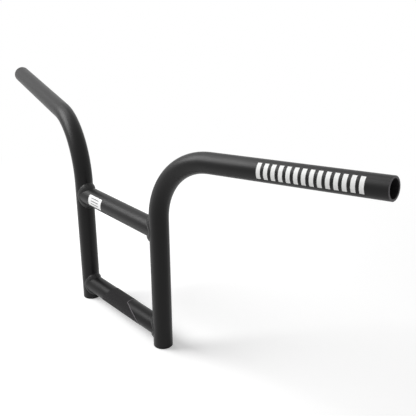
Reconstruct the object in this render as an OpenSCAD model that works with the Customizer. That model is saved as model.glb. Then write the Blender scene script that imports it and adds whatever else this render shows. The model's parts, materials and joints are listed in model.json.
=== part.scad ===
// Riser handlebar: two bent riser tubes, joined by a crossbar and a clamp tube that are
// fish-mouthed onto the legs and welded all round.
// The origin is the middle of the clamp tube, with X along it and Z up the legs.
// The grips sweep back toward +Y.

/* [Tubing] */
// Outside diameter of the two bent riser tubes
riser_od = 22.2; // [22.2:0.1:25.4]
// Wall of the riser tubes
riser_wall = 2.2; // [1.2:0.1:3.2]
// Outside diameter of the crossbar
crossbar_od = 22.2; // [16:0.1:22.2]
// Wall of the crossbar
crossbar_wall = 2; // [1:0.1:3.2]
// Outside diameter of the clamp tube, which the stem holds
clamp_od = 22.2; // [19:0.1:22.2]
// Wall of the clamp tube
clamp_wall = 2.6; // [1.2:0.1:4]

/* [Clamp zone] */
// How far the knurl's crests stand above the clamp tube
knurl_rise = 0.25; // [0.1:0.05:0.5]
// Right end of the knurled land, where its slanted edge crosses the tube's axis
knurl_right = 16.3; // [10:0.1:18]
// Slant of the right edge from a square cut
knurl_right_slant = 68.8; // [0:0.1:69]
// Turn of the right edge's slant round the tube, from the back toward the top
knurl_right_turn = 29.2; // [0:0.1:360]
// Where the right edge squares off, round the back of the tube
knurl_back = 16; // [10:0.1:18]
// Left end of the knurled land, on the tube's axis
knurl_left = 32.9; // [16:0.1:40]
// Slant of the left edge from a square cut
knurl_left_slant = 41.6; // [0:0.1:50]
// Turn of the left edge's slant round the tube, from the back toward the top
knurl_left_turn = 95.4; // [0:0.1:360]

/* [Legs and bends] */
// Distance between the centre lines of the two legs
leg_spacing = 160; // [110:1:240]
// Height of the crossbar's axis above the clamp tube's axis
crossbar_height = 122.5; // [60:0.5:200]
// Straight leg from the crossbar's axis up to where the bend starts
bend_start = 13.4; // [12:0.1:60]
// Radius of the bend, measured to the tube's centre line
bend_radius = 78; // [50:1:120]
// Angle that the grips sweep back from straight out
backsweep = 11.5; // [0:0.5:30]
// Angle that the grips rise toward their ends
upsweep = 4.5; // [0:0.5:15]
// Straight grip from the end of the bend to the open end
grip_length = 197; // [120:1:260]
// Edge break inside and outside the rim of the open end
rim_break = 0.4; // [0.2:0.1:0.6]

/* [Feet] */
// Leg left below the underside of the clamp tube, with the cap
foot_drop = 9.6; // [8:0.1:40]
// Thickness of the cap that closes a leg
cap_thickness = 2; // [1.5:0.1:4]
// Radius on the lower edge of the cap
cap_edge = 0.8; // [0.2:0.1:1.4]

/* [Welds] */
// How far the crossbar's beads reach up and down the riser, above and below the bar
crossbar_weld_leg = 6; // [3:0.1:7]
// How far the clamp tube's beads reach up and down the riser
clamp_weld_leg = 4.7; // [3:0.1:5.8]
// Reach of a bead along the bar, as a share of its reach up the riser
weld_bar_share = 1.25; // [1:0.05:1.4]
// Share of a bead's size left at the sides, where the tubes run flush
weld_side_share = 0.45; // [0.4:0.05:1]
// Height of the bead's crown over a flat fillet
weld_crown = 0.3; // [0.3:0.05:1.5]
// Height of the ripples along the bead
ripple_height = 0.15; // [0.05:0.05:0.4]
// Number of ripples round one joint
ripple_count = 36; // [24:1:48]
// How far the thin tips of a fish mouth are cut back from the leg's centre line
mouth_trim = 2; // [1:0.1:4]

/* [Hidden] */
$fn = 96;
riser_r = riser_od / 2;
bore_r = riser_r - riser_wall;
leg_x = leg_spacing / 2;
bend_angle = 90 - upsweep;
bend_start_z = crossbar_height + bend_start;
foot_z = -clamp_od / 2 - foot_drop;
// Facets across a bead, from the leg's toe to the bar's toe
bead_strips = 4;
// Stations along a bead, four to a ripple
bead_stations = 4 * ripple_count;
// How far a bead's toes and root start under the tubes' surfaces
toe_sink = 0.3;
root_sink = 1.5;
// Share of the bar's radius at which the bead rounds the tips of the fish mouth
tip_round = 0.97;
// Extra length of a cutter past what it cuts
past = 1;
paint = "#2b2b2d";
weld_paint = "#323234";

function unit(v) = v / norm(v);

// A riser tube as a round bar: the leg from foot_end up, the bend, and the grip out to grip_end
module riser_run(radius, foot_end, grip_end) {
    beyond = 2 * (bend_radius + radius);
    translate([0, 0, foot_end])
        cylinder(r = radius, h = bend_start_z - foot_end);
    difference() {
        translate([bend_radius, 0, bend_start_z])
            rotate([90, 0, 0])
                rotate_extrude(angle = 180)
                    translate([bend_radius, 0])
                        circle(r = radius);
        at_grip()
            translate([-beyond, -radius - past, 0])
                cube([2 * beyond, 2 * (radius + past), beyond]);
    }
    at_grip()
        cylinder(r = radius, h = grip_end);
}

// Places its children at the end of the bend, with Z along the grip
module at_grip() {
    translate([bend_radius, 0, bend_start_z])
        rotate([0, bend_angle, 0])
            translate([-bend_radius, 0, 0])
                children();
}

module riser_tube() {
    difference() {
        union() {
            riser_run(riser_r, foot_z + cap_thickness, grip_length - rim_break);
            at_grip()
                translate([0, 0, grip_length - rim_break])
                    cylinder(r1 = riser_r, r2 = riser_r - rim_break, h = rim_break);
        }
        riser_run(bore_r, foot_z, grip_length + past);
        at_grip()
            translate([0, 0, grip_length - rim_break])
                cylinder(r1 = bore_r, r2 = bore_r + 2 * rim_break, h = 2 * rim_break);
    }
}

module foot_cap() {
    rotate_extrude() {
        square([riser_r - cap_edge, cap_thickness]);
        translate([0, cap_edge])
            square([riser_r, cap_thickness - cap_edge]);
        translate([riser_r - cap_edge, cap_edge])
            circle(r = cap_edge);
    }
}

// Straight tube between the legs, hollow, with both ends fish-mouthed to the legs' outside
module coped_tube(od, wall) {
    half = leg_x - mouth_trim;
    difference() {
        translate([-half, 0, 0])
            rotate([0, 90, 0])
                cylinder(d = od, h = 2 * half);
        translate([-leg_x, 0, 0])
            rotate([0, 90, 0])
                cylinder(d = od - 2 * wall, h = 2 * leg_x);
        for (side = [-1, 1])
            translate([side * leg_x, 0, -od])
                cylinder(r = riser_r, h = 2 * od);
    }
}

// One cross section of a weld bead. The leg stands on Z, the bar leaves it toward -X, and
// a is the angle round the bar's axis, from its top. The bead's root lies where the two
// surfaces meet, its toes lie on the leg and on the bar, and the last point is inside both.
function bead_section(bar_r, weld_leg, a) =
    let (
        turn = asin(min(bar_r, riser_r) * tip_round * sin(a) / riser_r),
        leg_normal = [-cos(turn), sin(turn), 0],
        bar_normal = [0, sin(a), cos(a)],
        out = unit(leg_normal + bar_normal),
        root = [-riser_r * cos(turn), riser_r * sin(turn), bar_r * cos(a)],
        ripple = ripple_height * cos(a * ripple_count) / 2,
        share = weld_side_share + (1 - weld_side_share) * cos(a) ^ 2,
        reach = weld_leg * share + ripple,
        bar_reach = weld_leg * weld_bar_share * share + ripple,
        toe_turn = turn + reach * sin(a) / riser_r * 180 / PI,
        leg_toe = [-(riser_r - toe_sink) * cos(toe_turn), (riser_r - toe_sink) * sin(toe_turn),
            (bar_r + reach) * cos(a)],
        bar_toe = [root.x - bar_reach, (bar_r - toe_sink) * sin(a), (bar_r - toe_sink) * cos(a)],
        leg_way = unit(bar_normal - leg_normal * (leg_normal * bar_normal)),
        bar_way = unit(leg_normal - bar_normal * (leg_normal * bar_normal)),
        flat = root + (leg_way * reach + bar_way * bar_reach) / 2,
        crown = flat + out * (weld_crown + ripple) * share,
        pull = 2 * crown - (leg_toe + bar_toe) / 2
    )
    [
        for (i = [0 : bead_strips])
            let (t = i / bead_strips)
            leg_toe * (1 - t) ^ 2 + pull * 2 * t * (1 - t) + bar_toe * t ^ 2,
        root - out * root_sink
    ];

// Land that the knurl's crests make round the clamp tube, with a slanted edge at each end
module knurl_land() {
    crest_r = clamp_od / 2 + knurl_rise;
    half = leg_x - riser_r - clamp_weld_leg * weld_bar_share;
    difference() {
        translate([-half, 0, 0])
            rotate([0, 90, 0])
                cylinder(r = crest_r, h = 2 * half);
        translate([-leg_x, 0, 0])
            rotate([0, 90, 0])
                cylinder(r = (clamp_od - clamp_wall) / 2, h = 2 * leg_x);
        intersection() {
            beyond_edge(knurl_right, knurl_right_slant, knurl_right_turn);
            beyond_edge(knurl_back, 0, 0);
        }
        mirror([1, 0, 0])
            beyond_edge(knurl_left, knurl_left_slant, knurl_left_turn);
    }
}

// All that lies past a slanted edge of the knurled land
module beyond_edge(end, slant, turn) {
    translate([end, 0, 0])
        rotate([turn, 0, 0])
            rotate([0, 0, slant])
                translate([0, -leg_spacing, -leg_spacing])
                    cube(2 * leg_spacing);
}

// Weld bead round one end of a bar, trimmed to the tubes that it lies on
module weld_bead(bar_od, weld_leg) {
    $fn = 240;
    sections = [
        for (i = [0 : bead_stations - 1])
            bead_section(bar_od / 2, weld_leg, 360 * i / bead_stations)
    ];
    ring = bead_strips + 2;
    points = [for (s = sections) for (p = s) p];
    faces = [
        for (i = [0 : bead_stations - 1]) for (j = [0 : ring - 1])
            let (
                here = i * ring,
                next = (i + 1) % bead_stations * ring,
                k = (j + 1) % ring
            )
            each [[here + j, next + j, next + k], [here + j, next + k, here + k]]
    ];
    reach = bar_od + weld_leg * weld_bar_share;
    difference() {
        polyhedron(points, faces);
        translate([0, 0, -reach])
            cylinder(r = riser_r, h = 2 * reach);
        translate([-reach - riser_r, 0, 0])
            rotate([0, 90, 0])
                cylinder(d = bar_od, h = reach + riser_r - mouth_trim);
    }
}

// Places a child made for the joint's origin at the right leg, or mirrored at the left one
module at_leg(side, height) {
    mirror([side < 0 ? 1 : 0, 0, 0])
        translate([leg_x, 0, height])
            children();
}

module riser_side(side) {
    mirror([side < 0 ? 1 : 0, 0, 0])
        translate([leg_x, 0, 0])
            rotate([0, 0, backsweep])
                riser_tube();
}

module right_riser_tube() {
    color(paint) riser_side(1);
}

module left_riser_tube() {
    color(paint) riser_side(-1);
}

module crossbar() {
    color(paint) translate([0, 0, crossbar_height]) coped_tube(crossbar_od, crossbar_wall);
}

module clamp_tube() {
    color("dimgray") {
        coped_tube(clamp_od, clamp_wall);
        knurl_land();
    }
}

module crossbar_weld(side) {
    color(weld_paint) at_leg(side, crossbar_height) weld_bead(crossbar_od, crossbar_weld_leg);
}

module clamp_weld(side) {
    color(weld_paint) at_leg(side, 0) weld_bead(clamp_od, clamp_weld_leg);
}

module foot(side) {
    color(paint) at_leg(side, foot_z) foot_cap();
}

right_riser_tube();
left_riser_tube();
crossbar();
clamp_tube();
crossbar_weld(1);  // crossbar_weld_right
crossbar_weld(-1);  // crossbar_weld_left
clamp_weld(1);  // clamp_weld_right
clamp_weld(-1);  // clamp_weld_left
foot(1);  // right_foot_cap
foot(-1);  // left_foot_cap
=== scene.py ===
import json
import math

import bpy
from mathutils import Euler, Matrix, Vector


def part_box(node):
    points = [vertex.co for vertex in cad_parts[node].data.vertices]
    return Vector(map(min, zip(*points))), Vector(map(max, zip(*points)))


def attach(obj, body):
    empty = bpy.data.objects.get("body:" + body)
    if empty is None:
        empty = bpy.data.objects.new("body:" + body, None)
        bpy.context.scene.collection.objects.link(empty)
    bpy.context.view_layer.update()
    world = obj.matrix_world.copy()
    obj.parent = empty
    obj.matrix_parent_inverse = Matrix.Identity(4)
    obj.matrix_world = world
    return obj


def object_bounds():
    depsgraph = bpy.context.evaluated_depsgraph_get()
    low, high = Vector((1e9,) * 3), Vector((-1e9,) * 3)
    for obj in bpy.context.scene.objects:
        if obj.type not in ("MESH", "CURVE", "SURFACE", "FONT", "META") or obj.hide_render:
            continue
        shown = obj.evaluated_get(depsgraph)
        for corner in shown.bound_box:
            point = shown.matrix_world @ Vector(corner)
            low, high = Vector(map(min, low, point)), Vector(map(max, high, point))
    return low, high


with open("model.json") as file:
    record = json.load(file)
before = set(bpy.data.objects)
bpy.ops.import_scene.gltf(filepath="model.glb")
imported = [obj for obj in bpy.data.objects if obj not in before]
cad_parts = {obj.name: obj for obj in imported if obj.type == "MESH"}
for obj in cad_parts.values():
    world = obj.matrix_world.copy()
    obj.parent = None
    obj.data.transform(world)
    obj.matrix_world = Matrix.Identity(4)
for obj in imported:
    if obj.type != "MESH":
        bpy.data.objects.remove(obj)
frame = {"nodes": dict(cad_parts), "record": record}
cadLow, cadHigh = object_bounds()
nodes = frame["nodes"]
mounts = {m["name"]: m for m in frame["record"]["mounts"]}
mm = 0.001
white = (1, 1, 1, 1)
print("frame loaded:", len(nodes), "solids")


# small helpers for shader trees

def addNode(tree, kind, **settings):
    node = tree.nodes.new(kind)
    for key, value in settings.items():
        setattr(node, key, value)
    return node


def feed(tree, socket, value):
    # the value is the output of another node, or a plain number, vector or colour
    if isinstance(value, bpy.types.NodeSocket):
        tree.links.new(value, socket)
    else:
        socket.default_value = value


def fill(tree, node, values):
    for label, value in values.items():
        feed(tree, node.inputs[label], value)


def operate(tree, kind, operation, values):
    node = addNode(tree, kind, operation=operation)
    for socket, value in zip(node.inputs, values):
        feed(tree, socket, value)
    return node.outputs


def mathNode(tree, operation, *values):
    return operate(tree, "ShaderNodeMath", operation, values)["Value"]


def vectorNode(tree, operation, *values):
    output = "Value" if operation in ("DOT_PRODUCT", "LENGTH") else "Vector"
    return operate(tree, "ShaderNodeVectorMath", operation, values)[output]


def clamped(tree, value):
    return mathNode(tree, "MINIMUM", mathNode(tree, "MAXIMUM", value, 0.0), 1.0)


def scaled(tree, colour, gain):
    node = addNode(tree, "ShaderNodeVectorMath", operation="SCALE")
    fill(tree, node, {"Vector": colour, "Scale": gain})
    return node.outputs["Vector"]


def newGroup(name, inputs, outputs):
    group = bpy.data.node_groups.new(name, "ShaderNodeTree")
    for side, sockets in (("INPUT", inputs), ("OUTPUT", outputs)):
        for label, kind in sockets.items():
            group.interface.new_socket(name=label, in_out=side, socket_type="NodeSocket" + kind)
    given = group.nodes.new("NodeGroupInput").outputs
    return group, given, group.nodes.new("NodeGroupOutput")


# powder coat: a fine grain, a slow orange peel and a slight change of tone

coatTone = {"scale": 38.0, "detail": 5.0}    # the change of tone has one size on every finish


def makePowderCoat():
    group, given, out = newGroup(
        "powderCoat",
        {"Colour": "Color", "Grain Scale": "Float", "Peel Scale": "Float", "Peel Share": "Float",
         "Roughness": "Float", "Roughness Spread": "Float", "Tone Spread": "Float"},
        {"Colour": "Color", "Roughness": "Float", "Height": "Float"})
    place = addNode(group, "ShaderNodeTexCoord").outputs["Object"]
    grain = addNode(group, "ShaderNodeTexNoise")
    peel = addNode(group, "ShaderNodeTexNoise")
    tone = addNode(group, "ShaderNodeTexNoise")
    fill(group, grain, {"Vector": place, "Scale": given["Grain Scale"]})
    fill(group, peel, {"Vector": place, "Scale": given["Peel Scale"]})
    fill(group, tone, {"Vector": place, "Scale": coatTone["scale"], "Detail": coatTone["detail"]})
    peelPart = mathNode(group, "MULTIPLY", peel.outputs["Fac"], given["Peel Share"])
    centred = mathNode(group, "SUBTRACT", tone.outputs["Fac"], 0.5)
    roughPart = mathNode(group, "MULTIPLY", centred, given["Roughness Spread"])
    tonePart = mathNode(group, "MULTIPLY", centred, given["Tone Spread"])
    fill(group, out, {
        "Colour": scaled(group, given["Colour"], mathNode(group, "ADD", tonePart, 1.0)),
        "Roughness": mathNode(group, "ADD", given["Roughness"], roughPart),
        "Height": mathNode(group, "ADD", grain.outputs["Fac"], peelPart),
    })
    return group


powderCoat = makePowderCoat()


# other paints build on the nodes named coat and coatBump
def coatedMaterial(name, look):
    material = bpy.data.materials.new(name)
    material.use_nodes = True
    tree = material.node_tree
    coat = addNode(tree, "ShaderNodeGroup", node_tree=powderCoat, name="coat")
    fill(tree, coat, {
        "Colour": (*look["colour"], 1.0), "Grain Scale": look["grainScale"],
        "Peel Scale": look["peelScale"], "Peel Share": look["peelShare"],
        "Roughness": look["roughness"], "Roughness Spread": look["roughnessSpread"],
        "Tone Spread": look["toneSpread"],
    })
    bump = addNode(tree, "ShaderNodeBump", name="coatBump")
    fill(tree, bump, {"Strength": look["bumpStrength"], "Distance": look["bumpDepth"],
                      "Height": coat.outputs["Height"]})
    fill(tree, tree.nodes["Principled BSDF"], {
        "Base Color": coat.outputs["Colour"], "Roughness": coat.outputs["Roughness"],
        "Normal": bump.outputs["Normal"],
        "Specular IOR Level": look["specular"], "Sheen Weight": look["sheen"],
    })
    return material


# the open ends: the rim is lightened, a painted highlight, and the bore is bare and dull

def makeOpenEnd():
    group, given, out = newGroup(
        "openEnd",
        {"Axis": "Vector", "End": "Vector", "Rim Depth": "Float",
         "Bore Radius": "Float", "Bore Depth": "Float", "Blur": "Float"},
        {"Rim": "Float", "Bore": "Float"})
    # the two ends mirror each other, so both are measured at the right one
    split = addNode(group, "ShaderNodeSeparateXYZ")
    feed(group, split.inputs["Vector"], addNode(group, "ShaderNodeTexCoord").outputs["Object"])
    x, y, z = split.outputs
    mirrored = addNode(group, "ShaderNodeCombineXYZ")
    fill(group, mirrored, {"X": mathNode(group, "ABSOLUTE", x), "Y": y, "Z": z})
    away = vectorNode(group, "SUBTRACT", mirrored.outputs["Vector"], given["End"])
    along = vectorNode(group, "DOT_PRODUCT", away, given["Axis"])
    radius = vectorNode(group, "LENGTH", vectorNode(group, "CROSS_PRODUCT", away, given["Axis"]))
    # past the grip the same axis runs through the bend's wall, so the bore has a depth too
    inBore = mathNode(group, "MINIMUM",
                      mathNode(group, "SUBTRACT", given["Bore Radius"], radius),
                      mathNode(group, "ADD", along, given["Bore Depth"]))
    inRim = mathNode(group, "ADD", along, given["Rim Depth"])
    for label, inside in (("Rim", inRim), ("Bore", inBore)):
        share = clamped(group, mathNode(group, "DIVIDE", inside, given["Blur"]))
        feed(group, out.inputs[label], share)
    return group


# the tubes' paint

tubeLook = {
    "colour": (0.0032, 0.0030, 0.0032),
    "roughness": 0.40, "roughnessSpread": 0.08, "toneSpread": 0.14,
    "grainScale": 2600.0, "peelScale": 420.0, "peelShare": 0.5,
    "bumpStrength": 0.35, "bumpDepth": 0.00006,
    "specular": 0.21, "sheen": 0.05,
}
endLook = {
    "rimDepth": 0.45 * mm, "rimHighlightTone": 34.0,    # the tones multiply the paint's own colour
    "boreGap": 0.3 * mm, "boreTone": 9.0,
    "blur": 0.1 * mm,
}


def makeTubePaint():
    material = coatedMaterial("tubePaint", tubeLook)
    tree = material.node_tree
    grip, bore = mounts["right_grip"], mounts["right_bar_end"]
    axis = Vector(grip["axis"]).normalized()
    middle = Vector(grip["pos_m"])
    # the rim's furthest point in X is its centre plus the rim's radius across the axis
    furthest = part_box("right_riser_tube")[1].x
    reach = grip["dims"]["r_mm"] * mm * math.hypot(axis.y, axis.z)
    openEnd = addNode(tree, "ShaderNodeGroup", node_tree=makeOpenEnd())
    fill(tree, openEnd, {
        "Axis": axis,
        "End": middle + axis * (furthest - reach - middle.x) / axis.x,
        "Rim Depth": endLook["rimDepth"],
        "Bore Radius": bore["dims"]["r_mm"] * mm + endLook["boreGap"],
        "Bore Depth": grip["dims"]["length_mm"] * mm,
        "Blur": endLook["blur"],
    })
    # the rim's lighter tone is a painted highlight on the tube's end face
    rim = mathNode(tree, "MULTIPLY", openEnd.outputs["Rim"], endLook["rimHighlightTone"] - 1)
    hole = mathNode(tree, "MULTIPLY", openEnd.outputs["Bore"], endLook["boreTone"] - 1)
    gain = mathNode(tree, "ADD", mathNode(tree, "MAXIMUM", rim, hole), 1.0)
    tone = scaled(tree, tree.nodes["coat"].outputs["Colour"], gain)
    feed(tree, tree.nodes["Principled BSDF"].inputs["Base Color"], tone)
    return material


tubePaint = makeTubePaint()

crossbarLook = {**tubeLook, "specular": 0.18}
crossbarPaint = coatedMaterial("crossbarPaint", crossbarLook)

# over the beads the coat is a little rougher, and its paler colour is a painted highlight that
# lightens the fillets
weldLook = {**tubeLook, "colour": (0.0044, 0.0043, 0.0045), "roughness": 0.42, "specular": 0.28,
            "grainScale": 1900.0, "bumpStrength": 0.5}
weldPaint = coatedMaterial("weldPaint", weldLook)

footLook = {**tubeLook, "colour": (0.0036, 0.0035, 0.0036), "roughness": 0.58}
footPaint = coatedMaterial("footPaint", footLook)
print("paints made")


# the clamp tube: paint, with a diamond knurl on its raised land

clampLook = {
    **tubeLook,
    "specular": 0.12,
    "knurlPitch": 1.1 * mm,      # from crest to crest, both along the bar and round it
    "knurlRoughness": 0.78,
    "knurlTone": 5.0,            # the broken surface scatters more light
    "knurlDepth": 0.22 * mm,
    "landFloor": 11.22 * mm,     # the land is all that stands further out than this
    "landEdge": 0.05 * mm,
    # the right edge of the land, as in the solids: slanted, and squared off round the back
    "edgePlace": 16.3 * mm, "edgeSlant": 68.8, "edgeTurn": 29.2, "squarePlace": 16 * mm,
    # the smooth lip along that edge, lightened in colour as a painted highlight
    "lipPlace": -0.3 * mm, "lipWidth": 0.75 * mm, "lipHighlightTone": 55.0,
}


def makeKnurl():
    group, given, out = newGroup(
        "diamondKnurl",
        {"Pitch": "Float", "Radius": "Float", "Land Floor": "Float", "Land Edge": "Float",
         "Edge Normal": "Vector", "Edge Place": "Float", "Square Place": "Float",
         "Lip Place": "Float", "Lip Width": "Float"},
        {"Height": "Float", "Mask": "Float", "Lip": "Float"})
    place = addNode(group, "ShaderNodeTexCoord").outputs["Object"]
    split = addNode(group, "ShaderNodeSeparateXYZ")
    feed(group, split.inputs["Vector"], place)
    x, y, z = split.outputs
    square = mathNode(group, "ADD",
                      mathNode(group, "MULTIPLY", y, y), mathNode(group, "MULTIPLY", z, z))
    above = mathNode(group, "SUBTRACT", mathNode(group, "SQRT", square), given["Land Floor"])
    mask = clamped(group, mathNode(group, "DIVIDE", above, given["Land Edge"]))
    around = mathNode(group, "MULTIPLY", mathNode(group, "ARCTAN2", z, y), given["Radius"])
    turn = mathNode(group, "DIVIDE", math.pi, given["Pitch"])
    ridges = []
    for operation in ("ADD", "SUBTRACT"):
        phase = mathNode(group, "MULTIPLY", mathNode(group, operation, x, around), turn)
        ridges.append(mathNode(group, "ABSOLUTE", mathNode(group, "SINE", phase)))
    # the land ends where both the slanted plane and the square one are passed
    slanted = vectorNode(group, "DOT_PRODUCT", place, given["Edge Normal"])
    past = mathNode(group, "MINIMUM",
                    mathNode(group, "SUBTRACT", slanted, given["Edge Place"]),
                    mathNode(group, "SUBTRACT", x, given["Square Place"]))
    off = mathNode(group, "ABSOLUTE", mathNode(group, "SUBTRACT", past, given["Lip Place"]))
    lip = mathNode(group, "SUBTRACT", 1.0, mathNode(group, "DIVIDE", off, given["Lip Width"]))
    lip = mathNode(group, "MULTIPLY", mathNode(group, "MAXIMUM", lip, 0.0), mask)
    diamonds = mathNode(group, "MULTIPLY", mathNode(group, "MULTIPLY", *ridges), mask)
    diamonds = mathNode(group, "MULTIPLY", diamonds, mathNode(group, "SUBTRACT", 1.0, lip))
    fill(group, out, {"Height": mathNode(group, "ADD", diamonds, lip), "Mask": mask, "Lip": lip})
    return group


def makeClampPaint():
    material = coatedMaterial("clampPaint", clampLook)
    tree = material.node_tree
    coat, bump = tree.nodes["coat"], tree.nodes["coatBump"]
    slant, turn = math.radians(clampLook["edgeSlant"]), math.radians(clampLook["edgeTurn"])
    normal = Vector((math.cos(slant),
                     math.sin(slant) * math.cos(turn), math.sin(slant) * math.sin(turn)))
    knurl = addNode(tree, "ShaderNodeGroup", node_tree=makeKnurl())
    fill(tree, knurl, {
        "Pitch": clampLook["knurlPitch"], "Radius": mounts["stem_clamp"]["dims"]["r_mm"] * mm,
        "Land Floor": clampLook["landFloor"], "Land Edge": clampLook["landEdge"],
        "Edge Normal": normal, "Edge Place": normal.x * clampLook["edgePlace"],
        "Square Place": clampLook["squarePlace"],
        "Lip Place": clampLook["lipPlace"], "Lip Width": clampLook["lipWidth"],
    })
    roughness = addNode(tree, "ShaderNodeMix", data_type="FLOAT")
    fill(tree, roughness, {"Factor": knurl.outputs["Mask"], "A": coat.outputs["Roughness"],
                           "B": clampLook["knurlRoughness"]})
    landGain = mathNode(tree, "MULTIPLY", knurl.outputs["Mask"], clampLook["knurlTone"] - 1)
    # the lip's lighter tone is a painted highlight along the land's edge
    lipHighlightGain = mathNode(tree, "MULTIPLY", knurl.outputs["Lip"], clampLook["lipHighlightTone"])
    gain = mathNode(tree, "ADD", mathNode(tree, "ADD", landGain, 1.0), lipHighlightGain)
    ridge = addNode(tree, "ShaderNodeBump")
    fill(tree, ridge, {"Distance": clampLook["knurlDepth"], "Height": knurl.outputs["Height"],
                       "Normal": bump.outputs["Normal"]})
    fill(tree, tree.nodes["Principled BSDF"], {
        "Base Color": scaled(tree, coat.outputs["Colour"], gain),
        "Roughness": roughness.outputs["Result"], "Normal": ridge.outputs["Normal"],
    })
    return material


clampPaint = makeClampPaint()

finishes = {
    "right_riser_tube": tubePaint, "left_riser_tube": tubePaint,
    "crossbar": crossbarPaint, "clamp_tube": clampPaint,
    "crossbar_weld_right": weldPaint, "crossbar_weld_left": weldPaint,
    "clamp_weld_right": weldPaint, "clamp_weld_left": weldPaint,
    "right_foot_cap": footPaint, "left_foot_cap": footPaint,
}
for name, material in finishes.items():
    for slot in nodes[name].material_slots:
        slot.material = material
print("solids finished")


# print and label, as thin skins on the tubes

def skinOnTube(name, start, along, radius, shapes, columns, material):
    # each shape is a list of (angle above the front, first, last) rows along the tube
    back = Vector((0, 0, 1)).cross(along).normalized()
    up = along.cross(back)
    verts, faces = [], []
    for rows in shapes:
        base = len(verts)
        for angle, first, last in rows:
            out = -back * math.cos(angle) + up * math.sin(angle)
            for i in range(columns + 1):
                spot = first + (last - first) * i / columns
                verts.append(start + along * spot + out * radius)
        for r in range(len(rows) - 1):
            for i in range(columns):
                a = base + r * (columns + 1) + i
                faces.append((a, a + 1, a + columns + 2, a + columns + 1))
    mesh = bpy.data.meshes.new(name)
    mesh.from_pydata(verts, [], faces)
    mesh.materials.append(material)
    mesh.shade_smooth()
    piece = bpy.data.objects.new(name, mesh)
    bpy.context.scene.collection.objects.link(piece)
    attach(piece, "root")


inkLook = {
    "roughnessSpread": 0.1, "toneSpread": 0.05,
    "grainScale": 1800.0, "peelScale": 500.0, "peelShare": 0.3,
    "bumpStrength": 0.25, "bumpDepth": 0.00004,
    "specular": 0.4, "sheen": 0.0,
}
printLook = {
    **inkLook,
    "colour": (0.87, 0.87, 0.86), "roughness": 0.5,
    "first": 64.5 * mm, "last": 174.7 * mm,    # along the grip, from the bend's end
    "low": -28, "high": 56.5,                  # degrees above the grip's front
    "bars": 14, "share": 0.56,                 # how much of each step along the grip is white
    "lift": 0.05 * mm, "rows": 14, "columns": 3,
}
labelLook = {
    **inkLook,
    "colour": (0.80, 0.80, 0.80), "roughness": 0.45,
    "first": -52.5 * mm, "last": -24.5 * mm,
    "low": -24, "high": 47, "corner": 1.6 * mm,
    "lift": 0.08 * mm, "rows": 22, "columns": 12,
    "lines": 3, "lineWidth": 4.2,              # the width is in degrees round the tube
    "lineMargin": 6 * mm, "lineLift": 0.128 * mm, "lineColour": (0.012, 0.012, 0.013),
}

whiteInk = coatedMaterial("whiteInk", printLook)
labelWhite = coatedMaterial("labelWhite", labelLook)
labelDark = coatedMaterial("labelDark", {**labelLook, "colour": labelLook["lineColour"]})


def turnedBy(look, share):
    return look["low"] + (look["high"] - look["low"]) * share


def gripPrint():
    grip = mounts["right_grip"]
    along = Vector(grip["axis"]).normalized()
    start = Vector(grip["pos_m"]) - along * grip["dims"]["length_mm"] * mm / 2
    radius = grip["dims"]["r_mm"] * mm + printLook["lift"]
    steps = printLook["bars"] - 1 + printLook["share"]
    pitch = (printLook["last"] - printLook["first"]) / steps
    shapes = []
    for bar in range(printLook["bars"]):
        first = printLook["first"] + bar * pitch
        last = first + pitch * printLook["share"]
        shapes.append([(math.radians(turnedBy(printLook, r / printLook["rows"])), first, last)
                       for r in range(printLook["rows"] + 1)])
    skinOnTube("gripPrint", start, along, radius, shapes, printLook["columns"],
               whiteInk)


def crossbarLabel():
    low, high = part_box("crossbar")
    start = Vector((0, 0, (low.z + high.z) / 2))
    along = Vector((1, 0, 0))
    radius = (high.z - low.z) / 2
    length = radius * math.radians(labelLook["high"] - labelLook["low"])
    corner = labelLook["corner"]
    rows = []
    for r in range(labelLook["rows"] + 1):
        share = r / labelLook["rows"]
        near = min(share, 1 - share) * length
        # near the long edges the rows are shorter, which rounds the corners
        inset = corner - math.sqrt(corner ** 2 - max(corner - near, 0) ** 2)
        rows.append((math.radians(turnedBy(labelLook, share)),
                     labelLook["first"] + inset, labelLook["last"] - inset))
    skinOnTube("crossbarLabel", start, along, radius + labelLook["lift"], [rows],
               labelLook["columns"], labelWhite)
    lines = []
    first = labelLook["first"] + labelLook["lineMargin"]
    last = labelLook["last"] - labelLook["lineMargin"]
    half = labelLook["lineWidth"] / 2
    for line in range(labelLook["lines"]):
        middle = turnedBy(labelLook, (line + 1) / (labelLook["lines"] + 1))
        lines.append([(math.radians(middle + half * k), first, last) for k in (-1, 0, 1)])
    # the lines are gaps in the white, so they take the tube's own paint
    skinOnTube("labelLines", start, along, radius + labelLook["lineLift"], lines,
               labelLook["columns"], labelDark)


gripPrint()
crossbarLabel()
print("print and label laid on")


# floor, world, lamps and camera

stageLook = {
    "floorSize": 12.0, "floorColour": (0.8, 0.8, 0.8), "floorRoughness": 0.9, "floorSpecular": 0.0,
    "cameraGain": 0.35,                      # light that only the camera and reflections see
    "clearFrom": 0.30, "clearTo": 0.75,      # the floor turns plain white between these distances
    "worldStrength": 0.24,                   # as a light; the camera sees it at full strength
}


def seenShare(tree):
    path = addNode(tree, "ShaderNodeLightPath").outputs
    bent = mathNode(tree, "MAXIMUM", path["Is Glossy Ray"], path["Is Transmission Ray"])
    return mathNode(tree, "MAXIMUM", path["Is Camera Ray"], bent)


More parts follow.
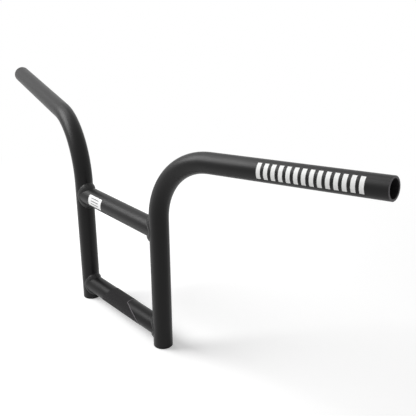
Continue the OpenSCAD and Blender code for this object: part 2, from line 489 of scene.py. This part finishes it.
def makeFloor():
    size, level = stageLook["floorSize"] / 2, cadLow.z
    corners = [(-size, -size, level), (size, -size, level),
               (size, size, level), (-size, size, level)]
    mesh = bpy.data.meshes.new("floor")
    mesh.from_pydata(corners, [], [(0, 1, 2, 3)])
    floor = bpy.data.objects.new("floor", mesh)
    bpy.context.scene.collection.objects.link(floor)
    material = bpy.data.materials.new("paleFloor")
    material.use_nodes = True
    tree = material.node_tree
    shader = tree.nodes["Principled BSDF"]
    seen = seenShare(tree)
    fill(tree, shader, {
        "Base Color": (*stageLook["floorColour"], 1), "Roughness": stageLook["floorRoughness"],
        "Specular IOR Level": stageLook["floorSpecular"], "Emission Color": white,
        "Emission Strength": mathNode(tree, "MULTIPLY", seen, stageLook["cameraGain"]),
    })
    # further out the floor is plain white to the camera, and no brighter than white
    place = addNode(tree, "ShaderNodeTexCoord").outputs["Object"]
    clear = addNode(tree, "ShaderNodeMapRange", interpolation_type="SMOOTHSTEP")
    fill(tree, clear, {"Value": vectorNode(tree, "LENGTH", place),
                       "From Min": stageLook["clearFrom"], "From Max": stageLook["clearTo"]})
    glow = addNode(tree, "ShaderNodeEmission")
    both = addNode(tree, "ShaderNodeMixShader")    # its two shader inputs share a name
    fill(tree, both, {"Fac": mathNode(tree, "MULTIPLY", seen, clear.outputs["Result"]),
                      1: shader.outputs["BSDF"], 2: glow.outputs["Emission"]})
    feed(tree, tree.nodes["Material Output"].inputs["Surface"], both.outputs["Shader"])
    mesh.materials.append(material)


def makeWorld():
    world = bpy.data.worlds.new("studio")
    bpy.context.scene.world = world
    world.use_nodes = True
    tree = world.node_tree
    tree.nodes.clear()
    least = stageLook["worldStrength"]
    strength = mathNode(tree, "ADD", mathNode(tree, "MULTIPLY", seenShare(tree), 1 - least), least)
    background = addNode(tree, "ShaderNodeBackground")
    fill(tree, background, {"Color": white, "Strength": strength})
    out = addNode(tree, "ShaderNodeOutputWorld")
    feed(tree, out.inputs["Surface"], background.outputs["Background"])


lamps = {
    "keyLamp": {"place": (-1.11, -0.94, 1.32), "size": 1.3, "power": 38.0},
    "topLamp": {"place": (-0.95, 0.0, 1.75), "size": 1.1, "power": 8.7},
}
lampAim = Vector((0, 0, 0.1))


def makeLamps():
    for name, lamp in lamps.items():
        data = bpy.data.lights.new(name, "AREA")
        data.shape = "DISK"
        data.size = lamp["size"]
        data.energy = lamp["power"]
        place = Vector(lamp["place"])
        lampObject = bpy.data.objects.new(name, data)
        lampObject.location = place
        lampObject.rotation_euler = (lampAim - place).to_track_quat("-Z", "Y").to_euler()
        bpy.context.scene.collection.objects.link(lampObject)


cameraLook = {
    "place": (0.680996, -0.418018, 0.428036),
    "turn": (69.05838, 0.54752, 50.77135),    # degrees about X, Y and Z
    "lens": 62.5925, "sensor": 36.0,
    "clipStart": 0.01, "clipEnd": 100.0,
}


def makeCamera():
    data = bpy.data.cameras.new("photoCamera")
    data.lens = cameraLook["lens"]
    data.sensor_fit = "HORIZONTAL"
    data.sensor_width = cameraLook["sensor"]
    data.clip_start = cameraLook["clipStart"]
    data.clip_end = cameraLook["clipEnd"]
    camera = bpy.data.objects.new("photoCamera", data)
    camera.location = cameraLook["place"]
    camera.rotation_euler = Euler([math.radians(a) for a in cameraLook["turn"]])
    bpy.context.scene.collection.objects.link(camera)
    bpy.context.scene.camera = camera


makeFloor()
makeWorld()
makeLamps()
makeCamera()
bpy.context.scene.view_settings.view_transform = "Standard"
print("stage set")
